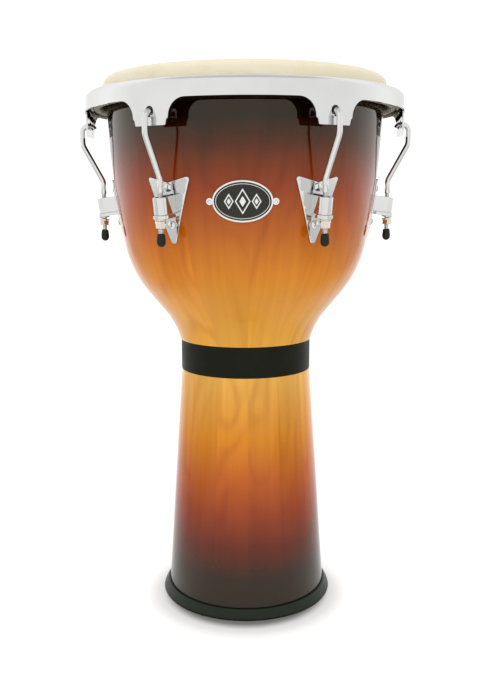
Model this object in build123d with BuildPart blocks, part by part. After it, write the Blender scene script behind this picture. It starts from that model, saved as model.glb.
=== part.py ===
from build123d import *

import math
import os

# Mechanically tuned goblet drum (djembe). Millimetres, +Z up, the origin on the
# floor at the drum's axis, the badge facing -Y and six tuning lugs 60 degrees apart.

# Overall sizes
skin_top = 615.5
skin_thickness = 1.5
bearing_edge = skin_top - skin_thickness
wall = 11.0

# Bowl outline, from the neck up: a flare, a straight slope, a shoulder and a belly
neck_radius = 75.3
neck_height = 293.4
flare_radius = 89.0
flare_angle = 39.6
slope_length = 30.0
shoulder_radius = 126.0
belly_radius = 923.0
belly_angle = 11.0
bearing_rounding = 6.0

# Stem: a straight cone that stands in the rubber foot
stem_foot_radius = 96.6
stem_neck_radius = 76.3
stem_bottom = 4.0

# Staves: both shells are glued up from tapered staves, with a thin glue line
stave_count = 14
stave_pitch = 360 / stave_count
glue_line = 0.03
first_seam = -87.5

# Neck band and rubber foot
band_bottom = 281.0
band_height = 36.0
band_inner_radius = 74.9
band_outer_radius = 77.5
foot_radius = 103.6
foot_top_radius = 98.9
foot_height = 12.0
foot_edge = 1.5
foot_belly = 0.5
foot_lip = 2.5

# Head: the skin falls from the bearing edge to the flesh hoop that it wraps
skin_bend_inner = 7.5
skin_bend_start = 152.4
skin_slope = 80.0
hoop_height = 584.8
hoop_wire = 3.5
soft_gap = 0.3

# Tuning rim: a rolled steel channel with six hanging ears
rim_radius = 182.0
rim_steel = 2.0
rim_top = 598.0
rim_bottom = 578.0
ear_bottom = 552.0
ear_bottom_half_width = 18.4
ear_half_width = 21.4
ear_fillet = 18.0
ear_step_height = 558.0
ear_hole_width = 9.2
ear_hole_bottom = 560.0
ear_hole_top = 571.0

# Lugs
lug_count = 6
lug_azimuths = [60 * step for step in range(lug_count)]
rod_radius = 3.175
thread_radius = 2.95
running_gap = 0.05
hook_crook = 7.5
hook_crook_centre = (181.9, 558.0)
hook_tip_angle = 155.0
hook_outer = hook_crook_centre[0] + hook_crook
hook_upper_bend = 543.5
hook_lower_bend = 502.0
hook_bend_radius = 14.0
rod_axis = 166.7
rod_shoulder = 488.0
rod_end = 437.0

# Hardware below each hook
bracket_bottom = 465.1
bracket_height = 17.9
bracket_half_width = 8.0
bracket_offset = 2.2
bracket_steel = 2.0
bracket_lean = 8.0
leg_length = 18.0
seat_thickness = 4.0
seat_half_width = 9.2
washer_radius = 6.2
washer_thickness = 1.4
nut_flats = 10.0
nut_height = 7.4
nut_collar_radius = 5.9
nut_collar_height = 2.2
cap_radius = 4.6
cap_top = 446.0
cap_bottom = 432.8

# Lug plates, laid on the bowl, and the bolts through them
plate_gap = 0.05
plate_steel = 1.8
plate_top = 504.3
plate_notch = 497.5
plate_tip = 435.5
plate_half_width = 26.5
plate_tip_half_width = 2.6
plate_corner = 2.4
bolt_heights = (493.0, 455.0)
bolt_radius = 2.95
bolt_hole_radius = 3.25
bolt_head_radius = 4.4
bolt_head_height = 3.0
bolt_head_edge = 0.8
inner_washer_radius = 7.0
inner_washer_thickness = 1.2
inner_washer_gap = 0.25
inner_nut_flats = 10.0
inner_nut_height = 5.0
bolt_overhang = 1.0

# Badge: a plain oval plate with a raised bezel, held by two pins
badge_height = 478.5
badge_half_width = 31.0
badge_half_height = 21.0
badge_thickness = 1.2
bezel_width = 2.4
bezel_thickness = 1.8
pin_offset = 33.5
pin_ear_radius = 3.6
pin_radius = 0.9
pin_head_radius = 1.9
pin_head_height = 1.2
pin_depth = 7.0

os.makedirs("parts", exist_ok=True)


def write(part, name):
    """Label a finished sub-part and write it as one STEP file."""
    part.label = name
    export_step(part, f"parts/{name}.step")


def dome_arc(radius, base, height):
    """Draw a spherical cap's half outline, from its edge at base to its crown on the axis."""
    ball = (radius**2 + height**2) / (2 * height)
    half_turn = math.asin(radius / ball) / 2
    side = ball * math.sin(half_turn)
    rise = ball * math.cos(half_turn) - ball + height
    return ThreePointArc((radius, base), (side, base + rise), (0, base + height))


def bowl_curve(inset):
    """Draw the bowl's outline moved inwards by inset, and return its first and last points."""
    flare = JernArc(
        (neck_radius - inset, neck_height), (0, 1), flare_radius + inset, -flare_angle
    )
    slope = Line(flare @ 1, flare @ 1 + (flare % 1) * slope_length)
    shoulder = JernArc(
        slope @ 1, slope % 1, shoulder_radius - inset, flare_angle - belly_angle
    )
    belly = JernArc(shoulder @ 1, shoulder % 1, belly_radius - inset, belly_angle)
    return flare @ 0, belly @ 1


# Where the belly turns vertical, just under the bearing edge
with BuildLine() as bowl_outline:
    belly_end = bowl_curve(0)[1]
belly_centre_radius = belly_end.X - belly_radius
belly_centre_height = belly_end.Y


def bowl_seat(azimuth, height, depth=0.0):
    """The plane on the bowl's outside at this height, facing outwards, sunk by depth."""
    droop = math.asin((belly_centre_height - height) / belly_radius)
    radial = Vector(1, 0, 0).rotate(Axis.Z, azimuth)
    normal = radial * math.cos(droop) - Vector(0, 0, math.sin(droop))
    radius = belly_centre_radius + belly_radius * math.cos(droop)
    on_surface = radial * radius + Vector(0, 0, height)
    across = Vector(0, 1, 0).rotate(Axis.Z, azimuth)
    return Plane(origin=on_surface - normal * depth, x_dir=across, z_dir=normal)


def radial_plane(azimuth):
    """The upright plane through the drum's axis that faces outwards, x across and y up."""
    outwards = Vector(1, 0, 0).rotate(Axis.Z, azimuth)
    return Plane(origin=(0, 0, 0), x_dir=Vector(0, 0, 1).cross(outwards), z_dir=outwards)


def bowl_layer(near, far):
    """A sheet that follows the bowl's outside, from near to far off its surface."""
    with BuildPart() as layer:
        with BuildSketch(Plane.XZ):
            with BuildLine():
                near_start, near_end = bowl_curve(-near)
                far_start, far_end = bowl_curve(-far)
                Line(near_start, far_start)
                Line(near_end, far_end)
            make_face()
        revolve(axis=Axis.Z)
    return layer.part


# ---------------------------------------------------------------- wooden shells

with BuildPart() as bowl_stave:
    with BuildSketch(Plane.XZ) as bowl_section:
        with BuildLine():
            outer_start, outer_end = bowl_curve(0)
            inner_start, inner_end = bowl_curve(wall)
            Line(outer_start, inner_start)
            Polyline(
                outer_end,
                (outer_end.X, bearing_edge),
                (inner_end.X, bearing_edge),
                inner_end,
            )
        make_face()
        edge_corners = bowl_section.vertices().group_by(Axis.Y)[-1].sort_by(Axis.X)
        fillet(edge_corners[-1], bearing_rounding)
        inner_corner = bowl_section.vertices().group_by(Axis.Y)[-1].sort_by(Axis.X)[0]
        fillet(inner_corner, bearing_rounding / 2)
        with Locations((band_inner_radius, band_bottom)):
            Rectangle(wall, band_height, align=(Align.MIN, Align.MIN), mode=Mode.SUBTRACT)
    revolve(axis=Axis.Z, revolution_arc=stave_pitch - glue_line)

bolt_seats = [
    bowl_seat(azimuth, height) for azimuth in lug_azimuths for height in bolt_heights
]
with BuildPart() as bowl_staves:
    with PolarLocations(0, stave_count, start_angle=first_seam):
        add(bowl_stave.part)
    with Locations(*bolt_seats):
        Cylinder(bolt_hole_radius, 4 * wall, mode=Mode.SUBTRACT)
write(bowl_staves.part, "bowl_staves")

stem_slope = (stem_foot_radius - stem_neck_radius) / (neck_height - stem_bottom)
with BuildPart() as stem_stave:
    with BuildSketch(Plane.XZ):
        Polygon(
            (stem_foot_radius, stem_bottom),
            (stem_neck_radius, neck_height),
            (neck_radius - wall, neck_height),
            (stem_foot_radius - wall, stem_bottom),
            align=None,
        )
        with Locations((band_inner_radius, band_bottom)):
            Rectangle(wall, band_height, align=(Align.MIN, Align.MIN), mode=Mode.SUBTRACT)
    revolve(axis=Axis.Z, revolution_arc=stave_pitch - glue_line)

with BuildPart() as stem_staves:
    with PolarLocations(0, stave_count, start_angle=first_seam):
        add(stem_stave.part)
write(stem_staves.part, "stem_staves")

# ---------------------------------------------------------------- band and foot

with BuildPart() as neck_band:
    with BuildSketch(Plane.XZ) as band_section:
        with Locations((band_inner_radius, band_bottom)):
            Rectangle(
                band_outer_radius - band_inner_radius,
                band_height,
                align=(Align.MIN, Align.MIN),
            )
        fillet(band_section.vertices().group_by(Axis.X)[-1], 0.8)
    revolve(axis=Axis.Z)
write(neck_band.part, "neck_band")

stem_radius_at_lip = stem_foot_radius - stem_slope * (foot_height - stem_bottom)
foot_inner_radius = stem_foot_radius - wall - foot_lip
with BuildPart() as foot_bumper:
    with BuildSketch(Plane.XZ) as foot_section:
        with BuildLine():
            Polyline(
                (stem_radius_at_lip, foot_height),
                (stem_foot_radius, stem_bottom),
                (stem_foot_radius - wall, stem_bottom),
                (stem_foot_radius - wall, foot_height - foot_lip),
                (foot_inner_radius, foot_height - foot_lip),
                (foot_inner_radius, 0),
                (foot_radius - foot_edge, 0),
                (foot_radius, foot_edge),
            )
            ThreePointArc(
                (foot_radius, foot_edge),
                ((foot_radius + foot_top_radius) / 2 + foot_belly, foot_height / 2),
                (foot_top_radius, foot_height - foot_edge / 2),
            )
            Polyline(
                (foot_top_radius, foot_height - foot_edge / 2),
                (foot_top_radius - foot_edge / 2, foot_height),
                (stem_radius_at_lip, foot_height),
            )
        make_face()
    revolve(axis=Axis.Z)
    # The inner lip stands clear of the tapering wood
    with BuildSketch(Plane.XZ):
        Polygon(
            (stem_foot_radius - wall, stem_bottom),
            (neck_radius - wall, neck_height),
            (stem_neck_radius, neck_height),
            (stem_foot_radius, stem_bottom),
            align=None,
        )
    revolve(axis=Axis.Z, mode=Mode.SUBTRACT)
write(foot_bumper.part, "foot_bumper")

# ---------------------------------------------------------------- head

slope_along = Vector(math.cos(math.radians(skin_slope)), -math.sin(math.radians(skin_slope)))
slope_out = Vector(-slope_along.Y, slope_along.X)
bend_centre = Vector(skin_bend_start, bearing_edge - skin_bend_inner)
skin_bend_outer = skin_bend_inner + skin_thickness
wrap_inner = hoop_wire + soft_gap
bend_end = bend_centre + slope_out * skin_bend_outer
slope_run = (bend_end.Y + slope_out.Y * wrap_inner - hoop_height) / -slope_along.Y
hoop_centre = bend_end + slope_along * slope_run + slope_out * wrap_inner

with BuildPart() as drum_skin:
    with BuildSketch(Plane.XZ) as skin_section:
        with BuildLine():
            top = Line((0, skin_top), (skin_bend_start, skin_top))
            outer_bend = JernArc(top @ 1, (1, 0), skin_bend_outer, -skin_slope)
            outer_slope = Line(outer_bend @ 1, outer_bend @ 1 + slope_along * slope_run)
            under = Line((0, bearing_edge), (skin_bend_start, bearing_edge))
            inner_bend = JernArc(under @ 1, (1, 0), skin_bend_inner, -skin_slope)
            inner_slope = Line(inner_bend @ 1, inner_bend @ 1 + slope_along * slope_run)
            Line(outer_slope @ 1, inner_slope @ 1)
            Line(top @ 0, under @ 0)
        make_face()
        with Locations((hoop_centre.X, hoop_centre.Y)):
            Circle(wrap_inner + skin_thickness)
            Circle(wrap_inner, mode=Mode.SUBTRACT)
    revolve(axis=Axis.Z)
write(drum_skin.part, "drum_skin")

with BuildPart() as flesh_hoop:
    with BuildSketch(Plane.XZ):
        with Locations((hoop_centre.X, hoop_centre.Y)):
            Circle(hoop_wire)
    revolve(axis=Axis.Z)
write(flesh_hoop.part, "flesh_hoop")

# ---------------------------------------------------------------- tuning rim

rim_leg = hoop_centre.X - rim_steel / 2
crown_radius = (rim_radius - rim_leg) / 2
crown_centre = (rim_leg + crown_radius, rim_top - crown_radius)
leg_bottom = hoop_height + wrap_inner + skin_thickness + soft_gap

lug_planes = [radial_plane(azimuth) for azimuth in lug_azimuths]
hole_height = ear_hole_top - ear_hole_bottom
with BuildPart() as rim_ears:
    with BuildSketch(Plane.XY.offset(ear_bottom)):
        Circle(rim_radius)
        Circle(rim_radius - rim_steel, mode=Mode.SUBTRACT)
    extrude(amount=rim_bottom - ear_bottom + rim_steel)
    with BuildSketch(*lug_planes) as ear_outline:
        with BuildLine():
            ear_side = Polyline(
                (0, ear_bottom),
                (ear_bottom_half_width, ear_bottom),
                (ear_bottom_half_width + 1, ear_step_height),
                (ear_half_width - 0.5, ear_step_height + 1),
                (ear_half_width, rim_bottom - ear_fillet),
            )
            JernArc(ear_side @ 1, (0, 1), ear_fillet, -90)
            Polyline(
                (ear_half_width + ear_fillet, rim_bottom),
                (ear_half_width + ear_fillet, rim_bottom + rim_steel),
                (0, rim_bottom + rim_steel),
                (0, ear_bottom),
            )
        make_face()
        mirror(about=Plane.YZ)
        with Locations((0, ear_hole_bottom + hole_height / 2)):
            SlotOverall(hole_height, ear_hole_width, rotation=90, mode=Mode.SUBTRACT)
    extrude(amount=2 * rim_radius, mode=Mode.INTERSECT)

with BuildPart() as tuning_rim:
    with BuildSketch(Plane.XZ):
        with Locations(crown_centre):
            Circle(crown_radius)
            Circle(crown_radius - rim_steel, mode=Mode.SUBTRACT)
            Rectangle(
                2 * crown_radius,
                crown_radius,
                align=(Align.CENTER, Align.MAX),
                mode=Mode.SUBTRACT,
            )
        with Locations((rim_radius, crown_centre[1])):
            Rectangle(rim_steel, crown_centre[1] - rim_bottom, align=(Align.MAX, Align.MAX))
        with Locations((rim_leg, crown_centre[1])):
            Rectangle(rim_steel, crown_centre[1] - leg_bottom, align=(Align.MIN, Align.MAX))
    revolve(axis=Axis.Z)
    add(rim_ears.part)
write(tuning_rim.part, "tuning_rim")

# ---------------------------------------------------------------- one lug, at azimuth 0

with BuildPart() as tuning_hook:
    with BuildLine(Plane.XZ) as hook_path:
        crook = CenterArc(hook_crook_centre, hook_crook, hook_tip_angle, -hook_tip_angle)
        FilletPolyline(
            (hook_outer, hook_crook_centre[1]),
            (hook_outer, hook_upper_bend),
            (rod_axis, hook_lower_bend),
            (rod_axis, rod_shoulder),
            radius=hook_bend_radius,
        )
    with BuildSketch(Plane(origin=crook @ 0, z_dir=crook % 0)):
        Circle(rod_radius)
    sweep(path=hook_path.wire())
    with BuildSketch(Plane(origin=(rod_axis, 0, rod_shoulder), z_dir=(0, 0, -1))):
        Circle(thread_radius)
    extrude(amount=rod_shoulder - rod_end)

cap_plane = Plane(origin=(rod_axis, 0, 0), x_dir=(1, 0, 0), z_dir=(0, -1, 0))
with BuildPart() as hook_cap:
    with BuildSketch(cap_plane):
        with BuildLine():
            dome_arc(cap_radius, cap_bottom + cap_radius, -cap_radius)
            Polyline(
                (cap_radius, cap_bottom + cap_radius),
                (cap_radius, cap_top),
                (thread_radius + running_gap, cap_top),
                (thread_radius + running_gap, rod_end),
                (0, rod_end),
                (0, cap_bottom),
            )
        make_face()
    revolve(axis=Axis((rod_axis, 0, 0), (0, 0, 1)))

# The bracket stands square to the sloping bowl, so it leans out and its seat is tilted
lean_sine = math.sin(math.radians(bracket_lean))
lean_cosine = math.cos(math.radians(bracket_lean))
bracket_plane = Plane(
    origin=(rod_axis, 0, bracket_bottom),
    x_dir=(lean_cosine, 0, -lean_sine),
    z_dir=(lean_sine, 0, lean_cosine),
)
inner_half_width = bracket_half_width - bracket_steel

with BuildPart() as lug_bracket:
    with BuildSketch(bracket_plane):
        with Locations((-bracket_offset, 0)):
            Rectangle(leg_length, 2 * bracket_half_width, align=(Align.MAX, Align.CENTER))
            Circle(bracket_half_width)
            Rectangle(
                leg_length,
                2 * inner_half_width,
                align=(Align.MAX, Align.CENTER),
                mode=Mode.SUBTRACT,
            )
            Circle(inner_half_width, mode=Mode.SUBTRACT)
    extrude(amount=bracket_height)
    with BuildSketch(bracket_plane):
        with Locations((-bracket_offset, 0)):
            Rectangle(leg_length, 2 * seat_half_width, align=(Align.MAX, Align.CENTER))
            Circle(seat_half_width)
        Circle(thread_radius + 0.8, mode=Mode.SUBTRACT)
    extrude(amount=-seat_thickness)
    add(bowl_layer(-wall, plate_gap + plate_steel), mode=Mode.SUBTRACT)

# The washer lies on the tilted seat, centred where the upright rod comes through it
washer_shift = (seat_thickness + washer_thickness / 2) * lean_sine / lean_cosine
with BuildPart() as nut_washer:
    with BuildSketch(bracket_plane.offset(-seat_thickness)):
        with Locations((washer_shift, 0)):
            Circle(washer_radius)
            Circle(thread_radius + 0.3, mode=Mode.SUBTRACT)
    extrude(amount=-washer_thickness)

washer_drop = (seat_thickness + washer_thickness) * lean_cosine
washer_dip = (washer_shift + washer_radius) * lean_sine
nut_top = bracket_bottom - washer_drop - washer_dip - running_gap
with BuildPart() as tuning_nut:
    with BuildSketch(Plane(origin=(rod_axis, 0, nut_top), z_dir=(0, 0, -1))):
        Circle(nut_collar_radius)
        Circle(thread_radius + running_gap, mode=Mode.SUBTRACT)
    extrude(amount=nut_collar_height)
    with BuildSketch(Plane(origin=(rod_axis, 0, nut_top), z_dir=(0, 0, -1))):
        RegularPolygon(nut_flats / 2, 6, major_radius=False)
        Circle(thread_radius + running_gap, mode=Mode.SUBTRACT)
    extrude(amount=nut_height)

with BuildPart() as lug_plate:
    add(bowl_layer(plate_gap, plate_gap + plate_steel))
    with BuildSketch(radial_plane(0)) as plate_outline:
        Polygon(
            (0, plate_notch),
            (plate_half_width, plate_top),
            (plate_tip_half_width, plate_tip),
            (-plate_tip_half_width, plate_tip),
            (-plate_half_width, plate_top),
            align=None,
        )
        outer_corners = plate_outline.vertices().filter_by(lambda corner: abs(corner.X) > 1)
        fillet(outer_corners, plate_corner)
    extrude(amount=2 * rim_radius, mode=Mode.INTERSECT)
    with Locations(*[bowl_seat(0, height) for height in bolt_heights]):
        Cylinder(bolt_hole_radius, 4 * plate_steel, mode=Mode.SUBTRACT)

head_seat = plate_gap + plate_steel + plate_gap
inner_stack = wall + inner_washer_gap + inner_washer_thickness + inner_nut_height
with BuildPart() as lug_bolt:
    with BuildSketch(Plane.XZ):
        with BuildLine():
            dome_arc(bolt_head_radius, bolt_head_edge, bolt_head_height - bolt_head_edge)
            Polyline(
                (bolt_head_radius, bolt_head_edge),
                (bolt_head_radius, 0),
                (bolt_radius, 0),
                (bolt_radius, -(head_seat + inner_stack + bolt_overhang)),
                (0, -(head_seat + inner_stack + bolt_overhang)),
                (0, bolt_head_height),
            )
        make_face()
    revolve(axis=Axis.Z)

with BuildPart() as lug_bolts:
    with Locations(*[bowl_seat(0, height, -head_seat) for height in bolt_heights]):
        add(lug_bolt.part)

lug_pieces = {
    "tuning_hook": tuning_hook,
    "hook_cap": hook_cap,
    "nut_washer": nut_washer,
    "tuning_nut": tuning_nut,
    "lug_bracket": lug_bracket,
    "lug_plate": lug_plate,
    "lug_bolts": lug_bolts,
}
for number, azimuth in enumerate(lug_azimuths, start=1):
    for piece_name, piece in lug_pieces.items():
        with BuildPart() as placed:
            add(piece.part, rotation=(0, 0, azimuth))
        write(placed.part, f"{piece_name}_{number}")

# ---------------------------------------------------------------- inside the bowl

washer_depth = wall + inner_washer_gap
washer_seats = [
    bowl_seat(azimuth, height, washer_depth)
    for azimuth in lug_azimuths
    for height in bolt_heights
]
with BuildPart() as lug_bolt_washers:
    with BuildSketch(*washer_seats):
        Circle(inner_washer_radius)
        Circle(bolt_radius + running_gap, mode=Mode.SUBTRACT)
    extrude(amount=-inner_washer_thickness)
write(lug_bolt_washers.part, "lug_bolt_washers")

nut_seats = [
    bowl_seat(azimuth, height, washer_depth + inner_washer_thickness)
    for azimuth in lug_azimuths
    for height in bolt_heights
]
with BuildPart() as lug_bolt_nuts:
    with BuildSketch(*nut_seats):
        RegularPolygon(inner_nut_flats / 2, 6, major_radius=False)
        Circle(bolt_radius + running_gap, mode=Mode.SUBTRACT)
    extrude(amount=-inner_nut_height)
write(lug_bolt_nuts.part, "lug_bolt_nuts")

# ---------------------------------------------------------------- badge

front = radial_plane(-90)
with BuildPart() as badge_plate:
    add(bowl_layer(plate_gap, plate_gap + badge_thickness))
    with BuildSketch(front):
        with Locations((0, badge_height)):
            Ellipse(badge_half_width, badge_half_height)
        with Locations((-pin_offset, badge_height), (pin_offset, badge_height)):
            Circle(pin_ear_radius)
    extrude(amount=2 * rim_radius, mode=Mode.INTERSECT)

with BuildPart() as badge_bezel:
    add(bowl_layer(plate_gap, plate_gap + bezel_thickness))
    with BuildSketch(front):
        with Locations((0, badge_height)):
            Ellipse(badge_half_width, badge_half_height)
            Ellipse(
                badge_half_width - bezel_width,
                badge_half_height - bezel_width,
                mode=Mode.SUBTRACT,
            )
    extrude(amount=2 * rim_radius, mode=Mode.INTERSECT)

pin_turn = math.degrees(math.asin(pin_offset / bowl_seat(0, badge_height).origin.X))
pin_seats = [
    bowl_seat(azimuth, badge_height, -badge_thickness - 2 * plate_gap)
    for azimuth in (-90 - pin_turn, -90 + pin_turn)
]
with BuildPart() as badge:
    add(badge_plate.part)
    add(badge_bezel.part)
    with Locations(*pin_seats):
        Cylinder(pin_radius + running_gap, 4 * badge_thickness, mode=Mode.SUBTRACT)
write(badge.part, "badge")

with BuildPart() as badge_pin:
    with BuildSketch(Plane.XZ):
        with BuildLine():
            dome_arc(pin_head_radius, 0, pin_head_height)
            Polyline(
                (pin_head_radius, 0),
                (pin_radius, 0),
                (pin_radius, -pin_depth),
                (0, -pin_depth),
                (0, pin_head_height),
            )
        make_face()
    revolve(axis=Axis.Z)

with BuildPart() as badge_pins:
    with Locations(*pin_seats):
        add(badge_pin.part)
write(badge_pins.part, "badge_pins")
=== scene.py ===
import math

import bmesh
import bpy
from mathutils import Matrix, Vector, noise


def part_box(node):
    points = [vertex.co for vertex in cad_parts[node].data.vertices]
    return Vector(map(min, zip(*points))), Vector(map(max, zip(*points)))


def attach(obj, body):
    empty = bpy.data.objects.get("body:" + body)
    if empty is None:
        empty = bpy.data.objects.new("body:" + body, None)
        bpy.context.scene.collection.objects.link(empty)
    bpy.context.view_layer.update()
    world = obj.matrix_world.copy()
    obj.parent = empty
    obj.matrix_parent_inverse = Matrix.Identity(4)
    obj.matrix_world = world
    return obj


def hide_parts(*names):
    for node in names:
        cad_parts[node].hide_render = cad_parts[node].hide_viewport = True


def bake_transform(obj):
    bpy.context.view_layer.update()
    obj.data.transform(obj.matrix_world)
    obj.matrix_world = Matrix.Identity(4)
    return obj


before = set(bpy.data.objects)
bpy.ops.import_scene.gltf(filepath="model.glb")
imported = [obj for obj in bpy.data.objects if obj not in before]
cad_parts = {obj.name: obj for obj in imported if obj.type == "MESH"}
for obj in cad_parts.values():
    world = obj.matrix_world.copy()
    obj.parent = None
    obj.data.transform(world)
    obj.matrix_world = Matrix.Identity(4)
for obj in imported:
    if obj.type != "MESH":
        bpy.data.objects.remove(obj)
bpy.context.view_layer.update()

# -------------------- driving sizes (metres)

MM = 0.001
LUGS = range(1, 7)
LUG_STEP = 60.0

# Bowl outline, from the neck up: a flare, a straight slope, a shoulder and a belly
WALL = 11 * MM
NECK_RADIUS = 75.3 * MM
NECK_HEIGHT = 293.4 * MM
FLARE_RADIUS = 89 * MM
FLARE_ANGLE = math.radians(39.6)
SLOPE_LENGTH = 30 * MM
SHOULDER_RADIUS = 126 * MM
BELLY_RADIUS = 923 * MM
BELLY_ANGLE = math.radians(11)
BEARING_ROUNDING = 6 * MM

STEM_FOOT = 96.6 * MM
STEM_NECK = 76.3 * MM
FOOT_TOP_RADIUS = 98.9 * MM
FOOT_FLOOR = 4 * MM
STEM_SLOPE = (STEM_FOOT - STEM_NECK) / (NECK_HEIGHT - FOOT_FLOOR)

STAVES = 14
FIRST_SEAM = math.radians(-87.5)

GROOVE_RADIUS = 74.9 * MM

# Head and hoop
SKIN_THICKNESS = 1.5 * MM
SKIN_BEND_START = 152.4 * MM
SKIN_BEND = 8.25 * MM
SKIN_SLOPE = math.radians(80)
HOOP_HEIGHT = 584.8 * MM
HOOP_WRAP = 4.55 * MM
WRAP_ANGLE = math.radians(285)
# Heights over which painted shade darkens the hide below the rim's top, where it is tucked round its hoop
TUCK_SHADE_HEIGHTS = (588 * MM, 600 * MM)

# Tuning rim
RIM_STEEL = 2 * MM
RIM_TOP = 598 * MM
RIM_BOTTOM = 578 * MM
EAR_BOTTOM = 552 * MM
EAR_HALF_WIDTH = 21.4 * MM
EAR_FILLET = 18 * MM
# An ear's side, rounded below and stepped above: mm in from its half width, mm up from its bottom
EAR_SIDE = [(3.4, 0.2), (3.0, 1.0), (2.1, 5.3), (1.7, 6.0), (0.6, 6.5), (0.2, 7.4)]
EAR_HOLE_HALF_WIDTH = 4.6 * MM
EAR_HOLE_HEIGHTS = (560 * MM, 571 * MM)

# Hook, rod and nut
ROD_AXIS = 166.7 * MM
ROD_RADIUS = 3.175 * MM
THREAD_RADIUS = 2.95 * MM
THREAD_PITCH = 1.27 * MM
THREAD_DEPTH = 0.62 * MM
HOOK_CROOK = 7.5 * MM
HOOK_CENTRE = (181.9 * MM, 558 * MM)
HOOK_TIP_ANGLE = math.radians(155)
HOOK_UPPER_BEND = 543.5 * MM
HOOK_LOWER_BEND = 502 * MM
HOOK_BEND = 14 * MM
ROD_SHOULDER = 488 * MM
ROD_END = 437 * MM

# Bracket, plate, bolts
BRACKET_HALF = 8 * MM
BRACKET_STEEL = 2 * MM
BRACKET_OFFSET = 2.2 * MM
BRACKET_BOTTOM = 465.1 * MM
BRACKET_HEIGHT = 17.9 * MM
BRACKET_LEAN = math.radians(8)
LEG_LENGTH = 15 * MM
SEAT_THICKNESS = 4 * MM
SEAT_HALF = 9.2 * MM
WASHER_RADIUS = 6.2 * MM
WASHER_THICKNESS = 1.4 * MM
PLATE_GAP = 0.05 * MM
PLATE_STEEL = 1.8 * MM
BOLT_HEIGHTS = (493 * MM, 455 * MM)
BOLT_HEAD = 4.4 * MM

# Badge
BADGE_HEIGHT = 478.5 * MM
BADGE_HALF_WIDTH = 31 * MM
BADGE_HALF_HEIGHT = 21 * MM
BADGE_EAR = 33.5 * MM

# From the frame
band_low, band_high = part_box("neck_band")
BAND_BOTTOM, BAND_TOP = band_low.z, band_high.z
BAND_OUTER = band_high.x
RIM_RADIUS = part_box("tuning_rim")[1].x
SHELL_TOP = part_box("bowl_staves")[1].z
SKIN_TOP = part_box("drum_skin")[1].z


# -------------------- mesh helpers


def make_object(name, verts, faces, material, body, replaced=(), sharp=40):
    """A mesh piece that rides on a CAD body and stands for the CAD nodes it replaces."""
    mesh = bpy.data.meshes.new(name)
    mesh.from_pydata([tuple(v) for v in verts], [], faces)
    mesh.validate()
    fix = bmesh.new()
    fix.from_mesh(mesh)
    bmesh.ops.recalc_face_normals(fix, faces=fix.faces)
    fix.to_mesh(mesh)
    fix.free()
    mesh.shade_smooth()
    mesh.set_sharp_from_angle(angle=math.radians(sharp))
    mesh.materials.append(material)
    piece = bpy.data.objects.new(name, mesh)
    bpy.context.scene.collection.objects.link(piece)
    if body:
        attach(piece, body)
    if replaced:
        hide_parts(*replaced)
    return piece


def round_corners(points, radii, steps=6, closed=True):
    """A polyline with each corner replaced by an arc of its radius (0 keeps the corner)."""
    count = len(points)
    rounded = []
    for i, (point, radius) in enumerate(zip(points, radii)):
        at_end = not closed and i in (0, count - 1)
        here = Vector(point)
        if at_end or radius == 0:
            rounded.append(here)
            continue
        back = (Vector(points[i - 1]) - here).normalized()
        on = (Vector(points[(i + 1) % count]) - here).normalized()
        half = back.angle(on) / 2
        centre = here + (back + on).normalized() * (radius / math.sin(half))
        start = here + back * (radius / math.tan(half)) - centre
        end = here + on * (radius / math.tan(half)) - centre
        turn = start.angle(end)
        for k in range(steps + 1):
            share = k / steps
            blend = start * math.sin((1 - share) * turn) + end * math.sin(share * turn)
            rounded.append(centre + blend / math.sin(turn))
    return rounded


def arc(centre, radius, start, end, steps):
    """Points along a circle in a plane, from one angle to another (radians)."""
    points = []
    for k in range(steps + 1):
        angle = start + (end - start) * k / steps
        points.append((centre[0] + radius * math.cos(angle), centre[1] + radius * math.sin(angle)))
    return points


def lathe(profile, segments=128, closed=True, shift=None):
    """Vertices and faces of a turned shape; shift(r, z, angle) may move each point."""
    verts = []
    rows = []
    for r, z in profile:
        if r < 1e-7:
            rows.append([len(verts)] * segments)
            verts.append(Vector((0, 0, z)))
            continue
        rows.append(list(range(len(verts), len(verts) + segments)))
        for k in range(segments):
            angle = 2 * math.pi * k / segments
            rr, zz = shift(r, z, angle) if shift else (r, z)
            verts.append(Vector((rr * math.cos(angle), rr * math.sin(angle), zz)))
    pairs = list(zip(rows, rows[1:]))
    if closed:
        pairs.append((rows[-1], rows[0]))
    faces = []
    for low, high in pairs:
        for k in range(segments):
            n = (k + 1) % segments
            corners = [low[k], low[n], high[n], high[k]]
            ring = [c for i, c in enumerate(corners) if c != corners[i - 1]]
            if len(ring) > 2:
                faces.append(ring)
    return verts, faces


def tube(path, radii, sides):
    """Vertices and faces of a round bar along a path of points, closed at both ends."""
    path = [Vector(p) for p in path]
    verts = []
    faces = []
    side = Vector((0, 1, 0))
    for i, point in enumerate(path):
        ahead = path[min(i + 1, len(path) - 1)] - path[max(i - 1, 0)]
        ahead.normalize()
        side = (side - ahead * side.dot(ahead)).normalized()
        up = ahead.cross(side)
        for k in range(sides):
            angle = 2 * math.pi * k / sides
            verts.append(point + (side * math.cos(angle) + up * math.sin(angle)) * radii[i])
    for i in range(len(path) - 1):
        for k in range(sides):
            n = (k + 1) % sides
            a, b = i * sides, (i + 1) * sides
            faces.append([a + k, a + n, b + n, b + k])
    faces.append(list(range(sides)))
    faces.append([(len(path) - 1) * sides + k for k in reversed(range(sides))])
    return verts, faces


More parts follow.
